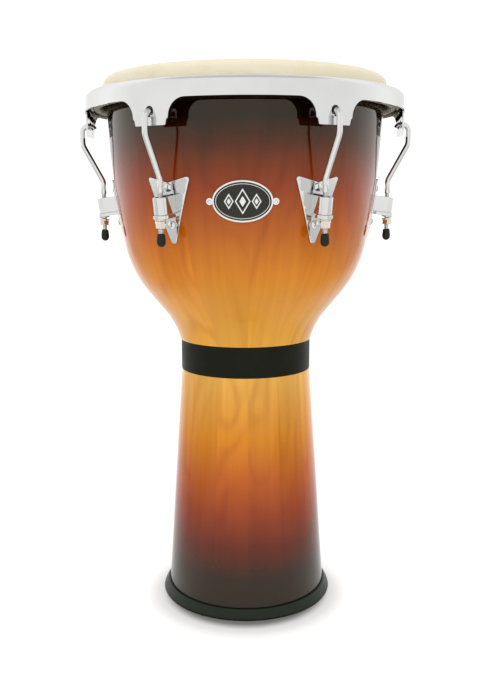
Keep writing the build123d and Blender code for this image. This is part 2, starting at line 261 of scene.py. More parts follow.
def ribbon(outer, inner, low, high, closed):
    """A solid between two outlines with the same number of points; low and high give z."""
    count = len(outer)
    verts = []
    for outline in (outer, inner):
        verts += [Vector((x, y, low(x, y))) for x, y in outline]
        verts += [Vector((x, y, high(x, y))) for x, y in outline]
    faces = []
    for k in range(count if closed else count - 1):
        n = (k + 1) % count
        outer_low, outer_high, inner_low, inner_high = (k, k + count, k + 2 * count, k + 3 * count)
        step = n - k
        faces.append([outer_low, outer_low + step, outer_high + step, outer_high])
        faces.append([inner_high, inner_high + step, inner_low + step, inner_low])
        faces.append([outer_high, outer_high + step, inner_high + step, inner_high])
        faces.append([inner_low, inner_low + step, outer_low + step, outer_low])
    if not closed:
        for k in (0, count - 1):
            faces.append([k, k + count, k + 3 * count, k + 2 * count])
    return verts, faces


def sheet_metal(outlines, thickness, edge, step, place):
    """A bevelled plate cut from flat outlines (holes after the first), then bent by place."""
    curve = bpy.data.curves.new("flat_plate", "CURVE")
    curve.dimensions = "2D"
    curve.fill_mode = "BOTH"
    curve.extrude = thickness / 2 - edge
    curve.bevel_depth = edge
    curve.bevel_resolution = 2
    curve.offset = -edge
    for outline in outlines:
        spline = curve.splines.new("POLY")
        spline.points.add(len(outline) - 1)
        for point, (x, y) in zip(spline.points, outline):
            point.co = (x, y, 0, 1)
        spline.use_cyclic_u = True
    flat = bpy.data.objects.new("flat_plate", curve)
    bpy.context.scene.collection.objects.link(flat)
    bpy.context.view_layer.update()
    mesh = bpy.data.meshes.new_from_object(flat)
    bpy.data.objects.remove(flat)
    bpy.data.curves.remove(curve)
    work = bmesh.new()
    work.from_mesh(mesh)
    bpy.data.meshes.remove(mesh)
    bmesh.ops.remove_doubles(work, verts=work.verts, dist=1e-6)
    for axis in (0, 1):
        values = [v.co[axis] for v in work.verts]
        cut = math.ceil(min(values) / step) * step
        while cut < max(values):
            normal = Vector((axis == 0, axis == 1, 0))
            whole = work.verts[:] + work.edges[:] + work.faces[:]
            bmesh.ops.bisect_plane(work, geom=whole, dist=1e-7, plane_co=normal * cut, plane_no=normal)
            cut += step
    work.verts.index_update()
    verts = [place(v.co.x, v.co.y, v.co.z + thickness / 2) for v in work.verts]
    faces = [[v.index for v in face.verts] for face in work.faces]
    work.free()
    return verts, faces


def joined(*meshes):
    """Several vertex and face lists as one."""
    verts = []
    faces = []
    for more_verts, more_faces in meshes:
        base = len(verts)
        verts += more_verts
        faces += [[base + k for k in face] for face in more_faces]
    return verts, faces


def turned(verts, azimuth):
    """The same points, turned about the drum's axis by an angle in degrees."""
    turn = Matrix.Rotation(math.radians(azimuth), 3, "Z")
    return [turn @ Vector(v) for v in verts]


def moved(verts, offset):
    """The same points, moved by an offset."""
    return [Vector(v) + Vector(offset) for v in verts]


def bevel(piece, width, angle=35):
    """Break a piece's sharp edges and keep its flat faces flat-shaded."""
    edges = piece.modifiers.new("edges", "BEVEL")
    edges.width = width
    edges.segments = 2
    edges.limit_method = "ANGLE"
    edges.angle_limit = math.radians(angle)
    edges.harden_normals = True


def lug_azimuth(number):
    """Where a lug stands round the drum, in degrees; lug 1 is at +X."""
    return LUG_STEP * (number - 1)


def show_node(node, material):
    """Give a CAD node that stays visible its material."""
    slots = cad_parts[node].data.materials
    slots.clear()
    slots.append(material)


# -------------------- the bowl's outline

flare_centre = (NECK_RADIUS + FLARE_RADIUS, NECK_HEIGHT)
flare_end = (
    flare_centre[0] - FLARE_RADIUS * math.cos(FLARE_ANGLE),
    flare_centre[1] + FLARE_RADIUS * math.sin(FLARE_ANGLE),
)
slope_end = (
    flare_end[0] + SLOPE_LENGTH * math.sin(FLARE_ANGLE),
    flare_end[1] + SLOPE_LENGTH * math.cos(FLARE_ANGLE),
)
shoulder_centre = (
    slope_end[0] - SHOULDER_RADIUS * math.cos(FLARE_ANGLE),
    slope_end[1] + SHOULDER_RADIUS * math.sin(FLARE_ANGLE),
)
belly_centre = (
    shoulder_centre[0] + (SHOULDER_RADIUS - BELLY_RADIUS) * math.cos(BELLY_ANGLE),
    shoulder_centre[1] - (SHOULDER_RADIUS - BELLY_RADIUS) * math.sin(BELLY_ANGLE),
)
BOWL_RADIUS = belly_centre[0] + BELLY_RADIUS


def bowl_curve(inset):
    """The bowl's outline from the neck to where the belly is upright, moved in by inset."""
    points = arc(flare_centre, FLARE_RADIUS + inset, math.pi, math.pi - FLARE_ANGLE, 16)
    points += arc(shoulder_centre, SHOULDER_RADIUS - inset, -FLARE_ANGLE, -BELLY_ANGLE, 12)
    points += arc(belly_centre, BELLY_RADIUS - inset, -BELLY_ANGLE, 0, 20)[1:]
    return points


def on_bowl(across, height, off):
    """The point off the bowl's outside, seen from azimuth 0, this far across and up."""
    reach = math.sqrt((BELLY_RADIUS + off) ** 2 - (belly_centre[1] - height) ** 2)
    radius = belly_centre[0] + reach
    return Vector((math.sqrt(radius**2 - across**2), across, height))


def seated(verts, height, off):
    """Points made round the Z axis, stood square on the bowl at azimuth 0, this far off it."""
    droop = math.asin((belly_centre[1] - height) / BELLY_RADIUS)
    lean = Matrix.Rotation(math.pi / 2 + droop, 3, "Y")
    seat = on_bowl(0, height, 0) + Vector((math.cos(droop), 0, -math.sin(droop))) * off
    return [lean @ v + seat for v in verts]


# -------------------- shader helpers


class Shader:
    """A material's node tree, with short calls that add a node and return its output."""

    def __init__(self, name):
        self.material = bpy.data.materials.new(name)
        self.material.use_nodes = True
        self.nodes = self.material.node_tree.nodes
        self.links = self.material.node_tree.links
        self.surface = self.nodes["Principled BSDF"]

    def add(self, kind, **settings):
        node = self.nodes.new(kind)
        for key, value in settings.items():
            setattr(node, key, value)
        return node

    def feed(self, socket, value):
        if isinstance(value, bpy.types.NodeSocket):
            self.links.new(value, socket)
        elif value is not None:
            socket.default_value = value

    def math(self, operation, first, second=None, third=None):
        node = self.add("ShaderNodeMath", operation=operation)
        for socket, value in zip(node.inputs, (first, second, third)):
            self.feed(socket, value)
        return node.outputs[0]

    def plus(self, first, second):
        return self.math("ADD", first, second)

    def minus(self, first, second):
        return self.math("SUBTRACT", first, second)

    def times(self, first, second):
        return self.math("MULTIPLY", first, second)

    def distance(self, first, second):
        return self.math("SQRT", self.plus(self.times(first, first), self.times(second, second)))

    def place(self):
        return self.add("ShaderNodeTexCoord").outputs["Object"]

    def split(self, vector):
        node = self.add("ShaderNodeSeparateXYZ")
        self.feed(node.inputs[0], vector)
        return node.outputs

    def join(self, x, y, z):
        node = self.add("ShaderNodeCombineXYZ")
        for socket, value in zip(node.inputs, (x, y, z)):
            self.feed(socket, value)
        return node.outputs[0]

    def noise(self, vector, scale, detail=2.0, roughness=0.5, distortion=0.0):
        node = self.add("ShaderNodeTexNoise")
        self.feed(node.inputs["Vector"], vector)
        node.inputs["Scale"].default_value = scale
        node.inputs["Detail"].default_value = detail
        node.inputs["Roughness"].default_value = roughness
        node.inputs["Distortion"].default_value = distortion
        return node.outputs["Fac"]

    def spread(self, value, low, high, to_low=0.0, to_high=1.0, smooth=False):
        node = self.add("ShaderNodeMapRange")
        node.interpolation_type = "SMOOTHSTEP" if smooth else "LINEAR"
        self.feed(node.inputs["Value"], value)
        node.inputs["From Min"].default_value = low
        node.inputs["From Max"].default_value = high
        node.inputs["To Min"].default_value = to_low
        node.inputs["To Max"].default_value = to_high
        return node.outputs["Result"]

    def ramp(self, value, stops):
        node = self.add("ShaderNodeValToRGB")
        self.feed(node.inputs[0], value)
        elements = node.color_ramp.elements
        while len(elements) < len(stops):
            elements.new(1.0)
        for element, (position, colour) in zip(elements, stops):
            element.position = position
            element.color = (*colour, 1.0)
        return node.outputs["Color"]

    def mix(self, share, first, second, kind="MIX"):
        node = self.add("ShaderNodeMix", data_type="RGBA", blend_type=kind)
        colour_in, colour_out = node.inputs[6:8], node.outputs[2]
        self.feed(node.inputs["Factor"], share)
        for socket, value in zip(colour_in, (first, second)):
            self.feed(socket, (*value, 1.0) if isinstance(value, tuple) else value)
        return colour_out

    def bump(self, height, distance, strength=1.0):
        node = self.add("ShaderNodeBump")
        node.inputs["Distance"].default_value = distance
        node.inputs["Strength"].default_value = strength
        self.feed(node.inputs["Height"], height)
        self.feed(self.surface.inputs["Normal"], node.outputs["Normal"])

    def set(self, **values):
        """Feed the surface's own sockets, named with _ for each space."""
        for key, value in values.items():
            self.feed(self.surface.inputs[key.replace("_", " ")], value)
        return self.material


def shaded(tint, factor):
    """The same colour, this many times as bright."""
    return tuple(factor * channel for channel in tint)


def chrome(name="chrome", tint=(0.70, 0.705, 0.69)):
    """Polished plating: faint cloudiness and fingerprints in its roughness and tone."""
    s = Shader(name)
    cloud = s.noise(s.place(), 35, detail=4)
    smear = s.noise(s.place(), 260, detail=3, distortion=1.2)
    rough = s.plus(s.spread(cloud, 0.35, 0.75, 0.025, 0.075), s.spread(smear, 0.5, 0.8, 0.0, 0.035))
    tone = s.mix(s.spread(cloud, 0.3, 0.7), tint, shaded(tint, 0.95))
    s.bump(s.noise(s.place(), 90, detail=1), 0.00002)
    s.set(Specular_Tint=(0.8, 0.8, 0.8, 1.0))
    return s.set(Base_Color=tone, Metallic=1.0, Roughness=rough)


def plated_steel(name, tint, roughness):
    """Zinc-plated fasteners: a warm satin metal with fine turning marks."""
    s = Shader(name)
    grain = s.noise(s.place(), 900, detail=2)
    cloud = s.noise(s.place(), 120, detail=3)
    tone = s.mix(s.spread(cloud, 0.3, 0.7), tint, shaded(tint, 0.8))
    rough = s.spread(grain, 0.3, 0.7, roughness * 0.8, roughness * 1.3)
    s.bump(grain, 0.00002)
    return s.set(Base_Color=tone, Metallic=1.0, Roughness=rough)


def rubber(name, tint, roughness, shine):
    """Moulded black rubber: fine grain, dusty scuffs and a soft shine."""
    s = Shader(name)
    scuff = s.noise(s.place(), 45, detail=6, roughness=0.65)
    grain = s.noise(s.place(), 1400, detail=2)
    tone = s.mix(s.spread(scuff, 0.5, 0.8, 0.0, 0.6), tint, shaded(tint, 1.9))
    rough = s.spread(scuff, 0.3, 0.75, roughness - 0.06, roughness + 0.08)
    s.bump(grain, 0.00004)
    return s.set(Base_Color=tone, Roughness=rough, Specular_IOR_Level=shine)


def rawhide():
    """Goat skin: creamy, mottled, with veins and pores; painted shade darkens it below the rim's top,
    where it is tucked round its hoop.
    """
    s = Shader("rawhide")
    place = s.place()
    broad = s.noise(place, 9, detail=5, roughness=0.6, distortion=0.6)
    veins = s.noise(place, 26, detail=6, roughness=0.7, distortion=1.6)
    pores = s.noise(place, 850, detail=3, roughness=0.6)
    cream, tan = (0.78, 0.725, 0.58), (0.74, 0.66, 0.48)
    vein, pore, painted_tuck_shade = (0.66, 0.53, 0.36), (0.56, 0.45, 0.31), (0.20, 0.16, 0.10)
    tone = s.mix(s.spread(broad, 0.3, 0.7), cream, tan)
    tone = s.mix(s.spread(veins, 0.52, 0.70, 0.0, 0.30), tone, vein)
    tone = s.mix(s.spread(pores, 0.55, 0.75, 0.0, 0.20), tone, pore)
    height = s.split(place)[2]
    # Painted shade: the hide is darkened below the rim's top, where it is tucked round its hoop
    tone = s.mix(s.spread(height, *TUCK_SHADE_HEIGHTS, 1.0, 0.0, smooth=True), tone, painted_tuck_shade)
    s.bump(s.plus(pores, s.times(veins, 1.5)), 0.00012)
    rough = s.spread(broad, 0.3, 0.7, 0.48, 0.62)
    s.set(Subsurface_Weight=0.12, Subsurface_Scale=0.004, Specular_IOR_Level=0.25)
    return s.set(Base_Color=tone, Roughness=rough)


# The stained wood's colour under the lacquer, at shares of this height
STAIN_HEIGHT = 620 * MM
SUNBURST = [
    (0.00, (0.001, 0.001, 0.001)),
    (0.075, (0.006, 0.001, 0.001)),
    (0.135, (0.10, 0.005, 0.001)),
    (0.20, (0.26, 0.030, 0.001)),
    (0.265, (0.43, 0.084, 0.001)),
    (0.34, (0.59, 0.20, 0.001)),
    (0.45, (0.69, 0.36, 0.060)),
    (0.56, (0.64, 0.275, 0.008)),
    (0.645, (0.60, 0.195, 0.001)),
    (0.72, (0.42, 0.091, 0.001)),
    (0.79, (0.255, 0.031, 0.001)),
    (0.865, (0.058, 0.008, 0.001)),
    (0.905, (0.007, 0.002, 0.001)),
    (1.00, (0.001, 0.001, 0.001)),
]


def sunburst_wood():
    """Staved wood under a gloss lacquer that fades from near black at both ends to amber."""
    s = Shader("sunburst_wood")
    x, y, z = s.split(s.place())
    pitch = 2 * math.pi / STAVES
    turn = s.minus(s.math("ARCTAN2", y, x), FIRST_SEAM)
    stave = s.math("FLOOR", s.math("DIVIDE", turn, pitch))
    wrapped = s.math("WRAP", stave, 0.0, float(STAVES))
    in_bowl = s.math("GREATER_THAN", z, (BAND_BOTTOM + BAND_TOP) / 2)
    number = s.plus(wrapped, s.times(in_bowl, 31.0))
    chance = s.add("ShaderNodeTexWhiteNoise", noise_dimensions="1D")
    s.feed(chance.inputs["W"], number)
    second, third, fourth = s.split(chance.outputs["Color"])

    radius = s.distance(x, y)
    local = s.minus(turn, s.times(s.plus(stave, 0.5), pitch))
    across = s.times(local, radius)
    height = s.plus(z, s.times(second, 3.0))

    def drawn_out(crosswise, lengthwise, up=height):
        """A place for noise with this many cells per metre across the stave and along it."""
        return s.join(s.times(across, crosswise), number, s.times(up, lengthwise))

    # Rings of the tree that the stave was sawn from, cut at a slant, give the arched figure
    rings_per_metre = 150.0
    slant = 0.16
    slow = s.noise(drawn_out(6.0, 2.2), 2.0)
    wobble = s.times(s.minus(slow, 0.5), 90 * MM)
    shift = s.times(s.minus(third, 0.5), 50 * MM)
    side = s.plus(across, s.plus(shift, wobble))
    lean = s.times(s.minus(z, s.times(fourth, 0.5)), slant)
    ring = s.times(s.distance(side, s.plus(lean, wobble)), rings_per_metre)
    figure = s.spread(s.math("PINGPONG", ring, 1.0), 0.3, 1.0, smooth=True)
    figure = s.times(figure, s.spread(slow, 0.42, 0.62, smooth=True))

    # Long pores and streaks along the stave
    fibres = s.noise(drawn_out(900.0, 22.0), 1.0, detail=4, roughness=0.65)
    streaks = s.noise(drawn_out(130.0, 3.0), 1.0, detail=3, roughness=0.55)
    grain = s.times(figure, 0.34)
    grain = s.plus(grain, s.spread(streaks, 0.40, 0.75, 0.0, 0.34))
    grain = s.plus(grain, s.spread(fibres, 0.60, 0.78, 0.0, 0.30))

    # The stain, whose edge wanders up and down a little, then the grain and each stave's own tone
    fade = s.noise(drawn_out(30.0, 4.0, up=z), 1.0)
    level = s.plus(z, s.times(s.minus(fade, 0.5), 20 * MM))
    colour = s.ramp(s.math("DIVIDE", level, STAIN_HEIGHT), SUNBURST)
    darker = s.mix(1.0, colour, (0.66, 0.50, 0.34), kind="MULTIPLY")
    colour = s.mix(grain, colour, darker)
    tone = s.spread(chance.outputs["Value"], 0.0, 1.0, 0.90, 1.10)
    colour = s.mix(1.0, colour, s.join(tone, tone, tone), kind="MULTIPLY")

    # A darker glue line along each stave's edges
    to_edge = s.times(s.minus(pitch / 2, s.math("ABSOLUTE", local)), radius)
    colour = s.mix(s.spread(to_edge, 0.0, 0.45 * MM, 0.25, 0.0), colour, darker)
    s.set(Roughness=0.03, Specular_Tint=(1.0, 0.88, 0.68, 1.0))
    return s.set(Base_Color=colour)


def enamel():
    """The badge's black field: fired enamel with a faint orange peel."""
    s = Shader("badge_enamel")
    peel = s.noise(s.place(), 700, detail=1)
    tone = s.mix(s.spread(peel, 0.3, 0.7), (0.010, 0.010, 0.004), (0.016, 0.016, 0.008))
    s.bump(peel, 0.00003)
    return s.set(Base_Color=tone, Roughness=0.16, Specular_IOR_Level=0.35)


CHROME = chrome()
WOOD = sunburst_wood()
HIDE = rawhide()
NUT_STEEL = plated_steel("nut_steel", (0.80, 0.76, 0.66), 0.20)
INNER_STEEL = plated_steel("inner_steel", (0.55, 0.55, 0.54), 0.32)
BAND_RUBBER = rubber("band_rubber", (0.006, 0.007, 0.003), 0.44, 0.10)
FOOT_RUBBER = rubber("foot_rubber", (0.008, 0.013, 0.006), 0.40, 0.22)
CAP_RUBBER = rubber("cap_rubber", (0.014, 0.015, 0.010), 0.5, 0.15)
BADGE_METAL = chrome("badge_metal", (0.80, 0.80, 0.77))
ENAMEL = enamel()


# -------------------- wooden shells


def bowl_shell():
    """The bowl: a groove for the band, the outline up to the bearing edge, and down inside."""
    outer = [p for p in bowl_curve(0) if p[1] > BAND_TOP + 1 * MM]
    edge_start = SHELL_TOP - BEARING_ROUNDING - 1 * MM
    above_band = NECK_RADIUS + FLARE_RADIUS - math.sqrt(FLARE_RADIUS**2 - (BAND_TOP - NECK_HEIGHT) ** 2)
    lead_in = [(GROOVE_RADIUS, NECK_HEIGHT), (GROOVE_RADIUS, BAND_TOP), (above_band, BAND_TOP)]
    outside = lead_in + outer
    corners = [(BOWL_RADIUS, edge_start), (BOWL_RADIUS, SHELL_TOP)]
    corners += [(BOWL_RADIUS - WALL, SHELL_TOP), (BOWL_RADIUS - WALL, edge_start)]
    radii = [0, BEARING_ROUNDING, BEARING_ROUNDING / 2, 0]
    top = round_corners(corners, radii, steps=8, closed=False)
    inside = bowl_curve(WALL)[::-1]
    verts, faces = lathe(outside + [tuple(p) for p in top] + inside, segments=224)
    return make_object("bowl_shell", verts, faces, WOOD, "shell", ["bowl_staves"])


def stem_shell():
    """The stem: a slim cone with a groove for the band at its top."""
    low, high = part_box("stem_staves")
    outside = []
    steps = 12
    for k in range(steps + 1):
        z = low.z + (BAND_BOTTOM - low.z) * k / steps
        outside.append((STEM_FOOT - STEM_SLOPE * (z - low.z), z))
    outside += [(GROOVE_RADIUS, BAND_BOTTOM), (GROOVE_RADIUS, high.z)]
    inside = [(NECK_RADIUS - WALL, high.z), (STEM_FOOT - WALL, low.z)]
    verts, faces = lathe(outside + inside, segments=192)
    return make_object("stem_shell", verts, faces, WOOD, "shell", ["stem_staves"])


bowl_shell()
stem_shell()


# -------------------- band and foot


def neck_band():
    """A rubber strip round the joint, slightly uneven in width and thickness."""
    inner = GROOVE_RADIUS + 0.02 * MM
    edge = 0.7 * MM
    unevenness = 0.25 * MM
    corners = [(inner, BAND_BOTTOM), (BAND_OUTER, BAND_BOTTOM), (BAND_OUTER, BAND_TOP), (inner, BAND_TOP)]
    profile = round_corners(corners, [0, edge, edge, 0], steps=4)
    middle = [(BAND_OUTER, BAND_BOTTOM + (BAND_TOP - BAND_BOTTOM) * k / 8) for k in range(1, 8)]
    profile = profile[:6] + [Vector(p) for p in middle] + profile[6:]

    def uneven(r, z, angle):
        """Waves on the outside only; the inside lies against the groove."""
        wave = noise.noise(Vector((math.cos(angle), math.sin(angle), z * 8)) * 1.7)
        side = max(0.0, (r - inner) / (BAND_OUTER - inner))
        return r - abs(wave) * unevenness * side, z + wave * unevenness * side

    verts, faces = lathe([tuple(p) for p in profile], segments=160, shift=uneven)
    return make_object("neck_band_strip", verts, faces, BAND_RUBBER, "shell", ["neck_band"])


def foot_ring():
    """The rubber foot: a sloping outer face, a flat sole and a short inner lip."""
    low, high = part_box("foot_bumper")
    sole = high.x
    shoulder = FOOT_TOP_RADIUS
    lip = 2.5 * MM
    wood_at_top = STEM_FOOT - STEM_SLOPE * (high.z - FOOT_FLOOR)
    inner = STEM_FOOT - WALL - lip
    face = []
    for k in range(9):
        share = k / 8
        swell = 0.5 * MM * 4 * share * (1 - share)
        face.append((sole + (shoulder - sole) * share + swell, 1.5 * MM + (high.z - 2.3 * MM) * share))
    outside = [(sole - 1.2 * MM, 0.0), (sole - 0.4 * MM, 0.4 * MM)] + face
    top = round_corners(
        [face[-1], (shoulder - 0.5 * MM, high.z), (wood_at_top, high.z), (wood_at_top, high.z - 0.8 * MM)],
        [0, 0.4 * MM, 0.3 * MM, 0],
        steps=3,
        closed=False,
    )
    inside = [
        (STEM_FOOT, FOOT_FLOOR),
        (STEM_FOOT - WALL, FOOT_FLOOR),
        (STEM_FOOT - WALL - 0.6 * MM, high.z - 3 * MM),
        (STEM_FOOT - WALL - 1.2 * MM, high.z - lip),
        (inner + 0.5 * MM, high.z - lip),
        (inner, high.z - lip - 0.6 * MM),
        (inner, 0.8 * MM),
        (inner + 0.8 * MM, 0.0),
    ]
    profile = outside + [tuple(p) for p in top[1:]] + inside
    verts, faces = lathe(profile, segments=192)
    return make_object("foot_ring", verts, faces, FOOT_RUBBER, "shell", ["foot_bumper"])


neck_band()
foot_ring()


# -------------------- head

along = Vector((math.cos(SKIN_SLOPE), -math.sin(SKIN_SLOPE)))
outward = Vector((math.sin(SKIN_SLOPE), math.cos(SKIN_SLOPE)))
middle_height = SKIN_TOP - SKIN_THICKNESS / 2
bend_centre = Vector((SKIN_BEND_START, middle_height - SKIN_BEND))
bend_end = bend_centre + outward * SKIN_BEND
slope_run = (bend_end.y + outward.y * HOOP_WRAP - HOOP_HEIGHT) / -along.y
hoop_centre = bend_end + along * slope_run + outward * HOOP_WRAP


def head():
    """One hide: flat over the bearing edge, down to the flesh hoop and tucked round it."""
    rings = 26
    face = [(SKIN_BEND_START * k / rings, middle_height) for k in range(rings)]
    bend = arc(bend_centre, SKIN_BEND, math.pi / 2, math.pi / 2 - SKIN_SLOPE, 10)
    run = [tuple(bend_end + along * slope_run * k / 8) for k in range(1, 8)]
    start = math.atan2(-outward.y, -outward.x)
    wrap = arc(hoop_centre, HOOP_WRAP, start, start + WRAP_ANGLE, 22)
    profile = face + bend + run + wrap

    def hide(r, z, angle):
        """A slight ripple in the skirt; the face stays flat."""
        around = Vector((math.cos(angle), math.sin(angle), 0)) * 9
        ripple = noise.noise(around + Vector((0, 0, z * 90)))
        loose = min(1.0, max(0.0, (middle_height - z) / (12 * MM)))
        return r + ripple * 0.35 * MM * loose, z + ripple * 0.12 * MM * loose

    verts, faces = lathe(profile, segments=180, closed=False, shift=hide)
    piece = make_object("head_hide", verts, faces, HIDE, None, ["drum_skin"])
    thick = piece.modifiers.new("thickness", "SOLIDIFY")
    thick.thickness = SKIN_THICKNESS * 0.96
    thick.offset = 0
    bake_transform(piece)
    return piece


head()
show_node("flesh_hoop", INNER_STEEL)


# -------------------- tuning rim

rim_leg = hoop_centre.x - RIM_STEEL / 2
crown = (RIM_RADIUS - rim_leg) / 2
crown_centre = (rim_leg + crown, RIM_TOP - crown)
leg_bottom = HOOP_HEIGHT + 5.6 * MM


def ear_columns():
    """Distances along the rim from an ear's middle, and the rim's lower edge at each."""
    flat = EAR_HALF_WIDTH - 3 * MM
    columns = [(flat * k / 9, EAR_BOTTOM) for k in range(9)]
    columns += [(EAR_HALF_WIDTH - x * MM, EAR_BOTTOM + z * MM) for x, z in EAR_SIDE]
    fillet_centre = (EAR_HALF_WIDTH + EAR_FILLET, RIM_BOTTOM - EAR_FILLET)
    columns += arc(fillet_centre, EAR_FILLET, math.pi, math.pi / 2, 12)
    start = columns[-1][0]
    rest = RIM_RADIUS * math.radians(LUG_STEP / 2) - start
    columns += [(start + rest * k / 12, RIM_BOTTOM) for k in range(1, 13)]
    return columns


def rim_section(bottom):
    """The rim's closed section where its lower edge is at this height."""
    rows = 10
    crown_top = crown_centre[1]
    outer = [(RIM_RADIUS, bottom + (crown_top - bottom) * k / rows) for k in range(rows)]
    inner = [(RIM_RADIUS - RIM_STEEL, z) for _, z in outer[::-1]]
    over = arc(crown_centre, crown, 0, math.pi, 18)
    under = arc(crown_centre, crown - RIM_STEEL, math.pi, 0, 18)
    edge = 0.3 * MM
    foot = [(rim_leg, leg_bottom + edge), (rim_leg + edge, leg_bottom)]
    foot += [(rim_leg + RIM_STEEL - edge, leg_bottom), (rim_leg + RIM_STEEL, leg_bottom + edge)]
    return outer + over + foot + under + inner


def ear_holes():
    """A rounded prism through each ear, for its hook."""
    half_width = EAR_HOLE_HALF_WIDTH
    low, high = EAR_HOLE_HEIGHTS
    slot = arc((0, high - half_width), half_width, 0, math.pi, 12)
    slot += arc((0, low + half_width), half_width, math.pi, 2 * math.pi, 12)
    count = len(slot)
    depth = (RIM_RADIUS - 6 * MM, RIM_RADIUS + 4 * MM)
    prism = [Vector((r, x, z)) for r in depth for x, z in slot]
    faces = []
    for k in range(count):
        n = (k + 1) % count
        faces.append([k, n, count + n, count + k])
    faces.append(list(range(count)))
    faces.append(list(range(2 * count - 1, count - 1, -1)))
    return joined(*[(turned(prism, lug_azimuth(number)), faces) for number in LUGS])


def tuning_rim():
    """The counterhoop: its section swept round, lower at the six ears, with a hole in each."""
    half = ear_columns()
    sector = [(-x, z) for x, z in half[:0:-1]] + half[:-1]
    columns = []
    for number in LUGS:
        for distance, bottom in sector:
            columns.append((math.radians(lug_azimuth(number)) + distance / RIM_RADIUS, bottom))
    verts = []
    for angle, bottom in columns:
        for r, z in rim_section(bottom):
            verts.append(Vector((r * math.cos(angle), r * math.sin(angle), z)))
    size = len(rim_section(RIM_BOTTOM))
    faces = []
    for c in range(len(columns)):
        a, b = c * size, ((c + 1) % len(columns)) * size
        for k in range(size):
            n = (k + 1) % size
            faces.append([a + k, b + k, b + n, a + n])
    rim = make_object("counterhoop", verts, faces, CHROME, "rim", ["tuning_rim"], sharp=50)
    tool = make_object("hole_tool", *ear_holes(), CHROME, None)
    holes = rim.modifiers.new("holes", "BOOLEAN")
    holes.operation = "DIFFERENCE"
    holes.solver = "EXACT"
    holes.object = tool
    bpy.context.view_layer.update()
    cut = bpy.data.meshes.new_from_object(rim.evaluated_get(bpy.context.evaluated_depsgraph_get()))
    rim.modifiers.clear()
    rim.data = cut
    bpy.data.objects.remove(tool)
    bevel(rim, 0.35 * MM, angle=50)
    return rim


tuning_rim()


# -------------------- one lug


def hook_mesh():
    """The bent rod: crook through the ear, a dog-leg in to the bowl, then the screw."""
    outer = HOOK_CENTRE[0] + HOOK_CROOK
    path = arc(HOOK_CENTRE, HOOK_CROOK, HOOK_TIP_ANGLE, 0, 22)
    # A point close to the tip, where the rod is already full size, chamfers its end
    path.insert(1, tuple(Vector(path[0]).lerp(Vector(path[1]), 0.4)))
    corners = [(outer, HOOK_CENTRE[1] - 1 * MM), (outer, HOOK_UPPER_BEND)]
    corners += [(ROD_AXIS, HOOK_LOWER_BEND), (ROD_AXIS, ROD_SHOULDER)]
    bends = round_corners(corners, [0, HOOK_BEND, HOOK_BEND, 0], steps=10, closed=False)
    path += [tuple(p) for p in bends]
    path.append((ROD_AXIS, ROD_SHOULDER - 0.6 * MM))
    radii = [ROD_RADIUS] * len(path)
    radii[0] = ROD_RADIUS - 0.5 * MM
    radii[-1] = THREAD_RADIUS - 0.1 * MM
    return joined(tube([(r, 0, z) for r, z in path], radii, sides=28), screw_mesh())


def screw_mesh(sides=28, rows_per_turn=8):
    """A rolled thread: the radius follows a wave that climbs one pitch for each turn."""
    top, bottom = ROD_SHOULDER, ROD_END
    rows = int((top - bottom) / THREAD_PITCH * rows_per_turn)
    verts = []
    for row in range(rows + 1):
        z = bottom + (top - bottom) * row / rows
        ends = min(1.0, min(row, rows - row) / rows_per_turn)
        for k in range(sides):
            angle = 2 * math.pi * k / sides
            phase = (z / THREAD_PITCH - k / sides) % 1.0
            ridge = abs(2 * phase - 1)
            radius = THREAD_RADIUS - THREAD_DEPTH * min(1.0, 1.25 * ridge) * ends
            verts.append(Vector((ROD_AXIS + radius * math.cos(angle), radius * math.sin(angle), z)))
    faces = []
    for row in range(rows):
        for k in range(sides):
            n = (k + 1) % sides
            a, b = row * sides, (row + 1) * sides
            faces.append([a + k, a + n, b + n, b + k])
    faces.append([rows * sides + k for k in range(sides)])
    faces.append(list(reversed(range(sides))))
    return verts, faces


def cap_mesh():
    """A rubber cap that swells a little towards its rounded end."""
    low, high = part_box("hook_cap_1")
    radius = (high.y - low.y) / 2
    profile = arc((0, low.z + radius), radius, -math.pi / 2, 0, 10)
    profile[0] = (0, low.z)
    profile += [(radius, high.z - 6 * MM), (radius - 0.5 * MM, high.z - 2 * MM)]
    profile += [(radius - 0.7 * MM, high.z - 0.4 * MM), (radius - 1.1 * MM, high.z)]
    profile += [(THREAD_RADIUS, high.z), (THREAD_RADIUS, ROD_END), (0, ROD_END)]
    verts, faces = lathe(profile, segments=32, closed=False)
    return moved(verts, (ROD_AXIS, 0, 0)), faces


def on_bracket(verts):
    """Points made on a level bracket, leaned out so that it stands square to the bowl."""
    lean = Matrix.Rotation(BRACKET_LEAN, 3, "Y")
    return [lean @ Vector(v) + Vector((ROD_AXIS, 0, BRACKET_BOTTOM)) for v in verts]


def washer_mesh():
    """The washer under the tilted seat, centred where the upright rod comes through it."""
    top = -SEAT_THICKNESS
    low = top - WASHER_THICKNESS
    inner = THREAD_RADIUS + 0.3 * MM
    corners = [(inner, low), (WASHER_RADIUS, low), (WASHER_RADIUS, top), (inner, top)]
    bore_edge, rim_edge = 0.2 * MM, 0.5 * MM
    profile = round_corners(corners, [bore_edge, rim_edge, rim_edge, bore_edge], steps=3)
    verts, faces = lathe([tuple(p) for p in profile], segments=48)
    shift = (SEAT_THICKNESS + WASHER_THICKNESS / 2) * math.tan(BRACKET_LEAN)
    return on_bracket(moved(verts, (shift, 0, 0))), faces


